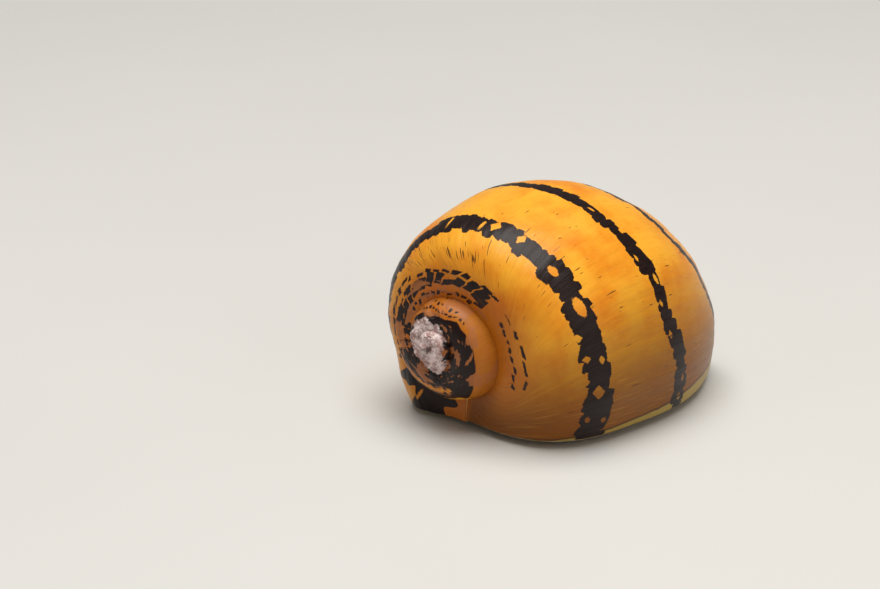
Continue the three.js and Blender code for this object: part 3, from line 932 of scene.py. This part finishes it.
def deck_underside():
    """The deck from below, with the hollow over the foot, and the toothed edge beside the mouth."""
    across, along, edge_along = deck_rim()
    middle_along = (edge_along[0] + edge_along[-1]) / 2
    bearing = np.arctan2(along - middle_along, across - DECK_MIDDLE)
    order = np.argsort(bearing)
    bearings = np.linspace(-math.pi, math.pi, 420)
    reach = np.hypot(along - middle_along, across - DECK_MIDDLE)[order]
    reach = np.interp(bearings, bearing[order], reach, period=2 * math.pi)
    shares = np.linspace(1, 0.004, 70)[:, None]
    ring_across = DECK_MIDDLE + shares * (reach * np.cos(bearings))[None]
    ring_along = middle_along + shares * (reach * np.sin(bearings))[None]
    plate = from_shell(ring_across, ring_along, deck_height(ring_across, ring_along))
    callus = callus_material()
    shown(grid_object("shell_deck_underside", plate, callus), "deck")

    heights = np.linspace(0, 1, 16)[:, None]
    toothed = np.exp(-((edge_along[None] - TEETH_MIDDLE) / TEETH_SPREAD) ** 4)
    teeth = toothed * (0.5 + 0.5 * np.cos(edge_along[None] * 2 * math.pi / TOOTH_SPACING))
    edge_across = DECK_EDGE + TOOTH_SIZE * teeth * np.sin(math.pi * heights) ** 0.5
    base = deck_height(np.full_like(edge_along, DECK_EDGE), edge_along)[None]
    edge_up = base + (DECK_TOP - base) * heights
    edge = from_shell(edge_across, np.broadcast_to(edge_along, edge_up.shape), edge_up)
    shown(grid_object("shell_deck_teeth", edge, callus), "deck")


def deck_height(across, along):
    """The height of the deck's underside: the lip's height, with an oval hollow over the foot."""
    from_sole = np.hypot(
        (across - SOLE_CENTRE[0]) / (SOLE_HALF_WIDTH + CLEARANCE),
        (along - SOLE_CENTRE[1]) / (SOLE_HALF_LENGTH + CLEARANCE),
    )
    hollow = 1 - smooth_step(from_sole, 0.99, 1.06)
    height = np.maximum(lip_height(along), LIP_HEIGHT + hollow * (DECK_HEIGHT - LIP_HEIGHT))
    return height + 0.02 * np.sin(across * 3 + along * 1.7)


def joined_flesh():
    """One mesh in millimetres of all the solid model's flesh, with bridges over its gaps."""
    names = ("foot_front", "foot_tail", "mantle", "head", "snout", "eyestalk_left", "eyestalk_right")
    mesh = bmesh.new()
    for name in names:
        mesh.from_mesh(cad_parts[name].data)
    mesh.transform(Matrix.Scale(1 / MM, 4))

    def bulb(centre, half_size, bearing=0.0):
        turn = Matrix.Translation(Vector(centre)) @ Matrix.Rotation(math.radians(bearing), 4, "Z")
        place = turn @ Matrix.Diagonal((*half_size, 1))
        bmesh.ops.create_icosphere(mesh, subdivisions=4, radius=1, matrix=place)

    def bridge(across, along, up, half_size):
        bulb(from_shell(np.array(across), np.array(along), np.array(up)), half_size, AXIS_BEARING)

    bridge(2.8, -9.2, 0.35, (0.9, 3.6, 0.26))
    bridge(3.2, -13.5, 1.5, (4.6, 2.6, 0.9))
    bulb(from_head((-1.6, 0, 0.75)), (2.2, 1.35, 0.5), HEAD_BEARING)
    bulb(from_head((1.4, 0, 0.62)), (1.3, 1.28, 0.42), HEAD_BEARING)
    for beside in (0.55, -0.55):
        bulb(from_head((2.5, beside, 0.36)), (0.62, 0.72, 0.27), HEAD_BEARING)
    for side, sign in (("left", 1), ("right", -1)):
        bulb(from_head((0.7, sign * 1.15, 0.9)), (0.5, 0.62, 0.38), HEAD_BEARING)
        path = curve_points(TENTACLES[side], TENTACLE_POINTS)
        for index, point in enumerate(path):
            share = index / (len(path) - 1)
            radius = TENTACLE_ROOT_RADIUS * (1 - share) + TENTACLE_TIP_RADIUS * share
            place = Matrix.Translation(Vector(point)) @ Matrix.Scale(radius, 4)
            bmesh.ops.create_icosphere(mesh, subdivisions=2, radius=1, matrix=place)
    joined = bpy.data.meshes.new("joined_flesh")
    mesh.to_mesh(joined)
    mesh.free()
    return joined


def curve_points(corners, count):
    """Points on a smooth curve through places in the head's frame."""
    corners = np.array([from_head(corner) for corner in corners])
    ends = np.vstack([2 * corners[0] - corners[1], corners, 2 * corners[-1] - corners[-2]])
    points = []
    for t in np.linspace(0, len(corners) - 1, count):
        i = min(int(t), len(corners) - 2)
        f = t - i
        a, b, c, d = ends[i:i + 4]
        bend = (2 * a - 5 * b + 4 * c - d) * f * f + (3 * b - a - 3 * c + d) * f**3
        points.append(0.5 * (2 * b + (c - a) * f + bend))
    return np.array(points)


def flesh_piece():
    """One wrinkled skin over the foot, mantle, head and feelers."""
    scratch = bpy.data.objects.new("scratch", joined_flesh())
    bpy.context.scene.collection.objects.link(scratch)
    remesh = scratch.modifiers.new("remesh", "REMESH")
    remesh.mode = "VOXEL"
    remesh.voxel_size = FLESH_VOXEL
    smooth = scratch.modifiers.new("smooth", "SMOOTH")
    smooth.factor = 0.5
    smooth.iterations = 6
    evaluated = scratch.evaluated_get(bpy.context.evaluated_depsgraph_get())
    mesh = bpy.data.meshes.new_from_object(evaluated)
    bpy.data.objects.remove(scratch)

    count = len(mesh.vertices)
    flat = np.zeros(count * 3, np.float32)
    mesh.vertices.foreach_get("co", flat)
    points = flat.reshape(-1, 3).astype(float)
    mesh.vertex_normals.foreach_get("vector", flat)
    normals = flat.reshape(-1, 3).astype(float)

    feeler = np.zeros(count)
    along = np.zeros(count)
    for side in TENTACLES:
        path = curve_points(TENTACLES[side], TENTACLE_POINTS)
        near = np.flatnonzero(np.linalg.norm(points - path.mean(0), axis=1) < 4)
        distance = np.linalg.norm(points[near, None] - path[None], axis=2)
        share = distance.argmin(1) / (len(path) - 1)
        reach = distance.min(1)
        is_feeler = smooth_step(share, 0.08, 0.2) * (reach < 0.5)
        feeler[near] = np.maximum(feeler[near], is_feeler)
        along[near] = np.where(is_feeler > 0, share * 5, along[near])
    snout = from_head((3.02, 0, 0.36))
    ahead = from_head((1, 0, 0)) - from_head((0, 0, 0))
    beside = from_head((0, 1, 0)) - from_head((0, 0, 0))
    local = points - snout
    slit = np.exp(-((points[:, 2] - snout[2]) / 0.07) ** 2 - (local @ beside / 0.55) ** 4)
    mouth = slit * smooth_step(local @ ahead, -0.5, -0.1)

    wrinkles = bumps(points, 1.1) * 0.045 + bumps(points, 3.2, 3) * 0.02
    keep_flat = smooth_step(points[:, 2], 0.02, 0.25)
    points += normals * (wrinkles * keep_flat * (1 - 0.8 * feeler) - 0.12 * mouth)[:, None]
    points[:, 2] = np.maximum(points[:, 2], 0.0)
    mesh.vertices.foreach_set("co", (points * MM).astype(np.float32).ravel())
    for name, values in (("feeler", feeler), ("along", along), ("mouth", mouth)):
        store(mesh, name, values)
    obj = finished_object("flesh_skin", mesh, flesh_material())
    shown(
        obj, "flesh", "foot_front", "foot_tail", "mantle", "head", "snout",
        "tentacle_left", "tentacle_right", "eyestalk_left", "eyestalk_right",
    )


def eye_piece(side, sign, material):
    """A ball with a raised clear front, set in a low ring of skin."""
    centre = from_head((EYE_AT[0], sign * EYE_AT[1], EYE_AT[2]))
    ahead_of_eye = (EYE_AT[0] + 0.35, sign * (EYE_AT[1] + 1), EYE_AT[2] + 0.55)
    facing = from_head(ahead_of_eye) - centre
    facing /= np.linalg.norm(facing)
    side_way = np.cross(facing, [0, 0, 1.0])
    side_way /= np.linalg.norm(side_way)
    up_way = np.cross(side_way, facing)
    profile = []
    for a in np.linspace(0, math.pi, 40):
        radius = EYE_RADIUS * (0.93 + 0.07 * math.exp(-(a / 0.7) ** 2))
        collar = 0.035 * math.exp(-((a - 1.45) / 0.13) ** 2)
        profile.append(((radius + collar) * math.sin(a), (radius + collar) * math.cos(a)))
    sides = 64
    points, height = [], []
    for r, h in profile:
        for k in range(sides):
            b = 2 * math.pi * k / sides
            round_it = side_way * r * math.cos(b) + up_way * r * math.sin(b)
            points.append(centre + facing * h + round_it)
            height.append(h / EYE_RADIUS)
    faces = []
    for i in range(len(profile) - 1):
        for k in range(sides):
            n = (k + 1) % sides
            faces.append((i * sides + k, i * sides + n, (i + 1) * sides + n, (i + 1) * sides + k))
    sheet = Sheet(np.array(points), {"height": np.array(height)}, np.array(faces))
    shown(sheet.object("eye_" + side + "_ball", material), "eye", "eye_" + side)


def camera():
    data = bpy.data.cameras.new("camera")
    data.lens = CAMERA_LENS
    data.sensor_width = CAMERA_SENSOR
    data.sensor_fit = "HORIZONTAL"
    data.clip_start = 0.01
    obj = bpy.data.objects.new("camera", data)
    bpy.context.scene.collection.objects.link(obj)
    elevation = math.radians(CAMERA_ELEVATION)
    away = Vector((0, -math.cos(elevation), math.sin(elevation))) * CAMERA_DISTANCE * MM
    obj.location = Vector(CAMERA_TARGET) * MM + away
    obj.rotation_euler = (-away).to_track_quat("-Z", "Y").to_euler()
    bpy.context.scene.camera = obj


def area_light(name, place, size, power, colour):
    data = bpy.data.lights.new(name, "AREA")
    data.shape = "SQUARE"
    data.size = size
    data.energy = power
    data.color = colour
    obj = bpy.data.objects.new(name, data)
    obj.location = place
    direction = Vector(LIGHTS_AIM) - Vector(place)
    obj.rotation_euler = direction.to_track_quat("-Z", "Y").to_euler()
    bpy.context.scene.collection.objects.link(obj)


def studio():
    """A pale floor, an even pale surround, a soft light above and a weaker one in front."""
    mesh = bpy.data.meshes.new("floor")
    half = FLOOR_HALF_SIZE
    corners = [(-half, -half, 0), (half, -half, 0), (half, half, 0), (-half, half, 0)]
    mesh.from_pydata(corners, [], [(0, 1, 2, 3)])
    mesh.materials.append(floor_material())
    floor = bpy.data.objects.new("floor", mesh)
    bpy.context.scene.collection.objects.link(floor)
    world = bpy.data.worlds.new("studio")
    world.use_nodes = True
    background = world.node_tree.nodes["Background"]
    background.inputs["Color"].default_value = (0.97, 0.97, 0.95, 1)
    background.inputs["Strength"].default_value = 0.23
    bpy.context.scene.world = world
    area_light("key", (0.0, -0.03, 0.29), 0.23, 1.16, (1.0, 0.98, 0.94))
    area_light("fill", (0.28, -0.26, 0.16), 0.25, 0.24, (1.0, 0.95, 0.86))
    bpy.context.scene.view_settings.view_transform = "Standard"


camera()
studio()
shell_pieces()
rounded_lip()
deck_underside()
flesh_piece()
eye_look = eye_material()
eye_piece("left", 1, eye_look)
eye_piece("right", -1, eye_look)
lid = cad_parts["operculum"]
lid.data.materials.clear()
lid.data.materials.append(lid_material())
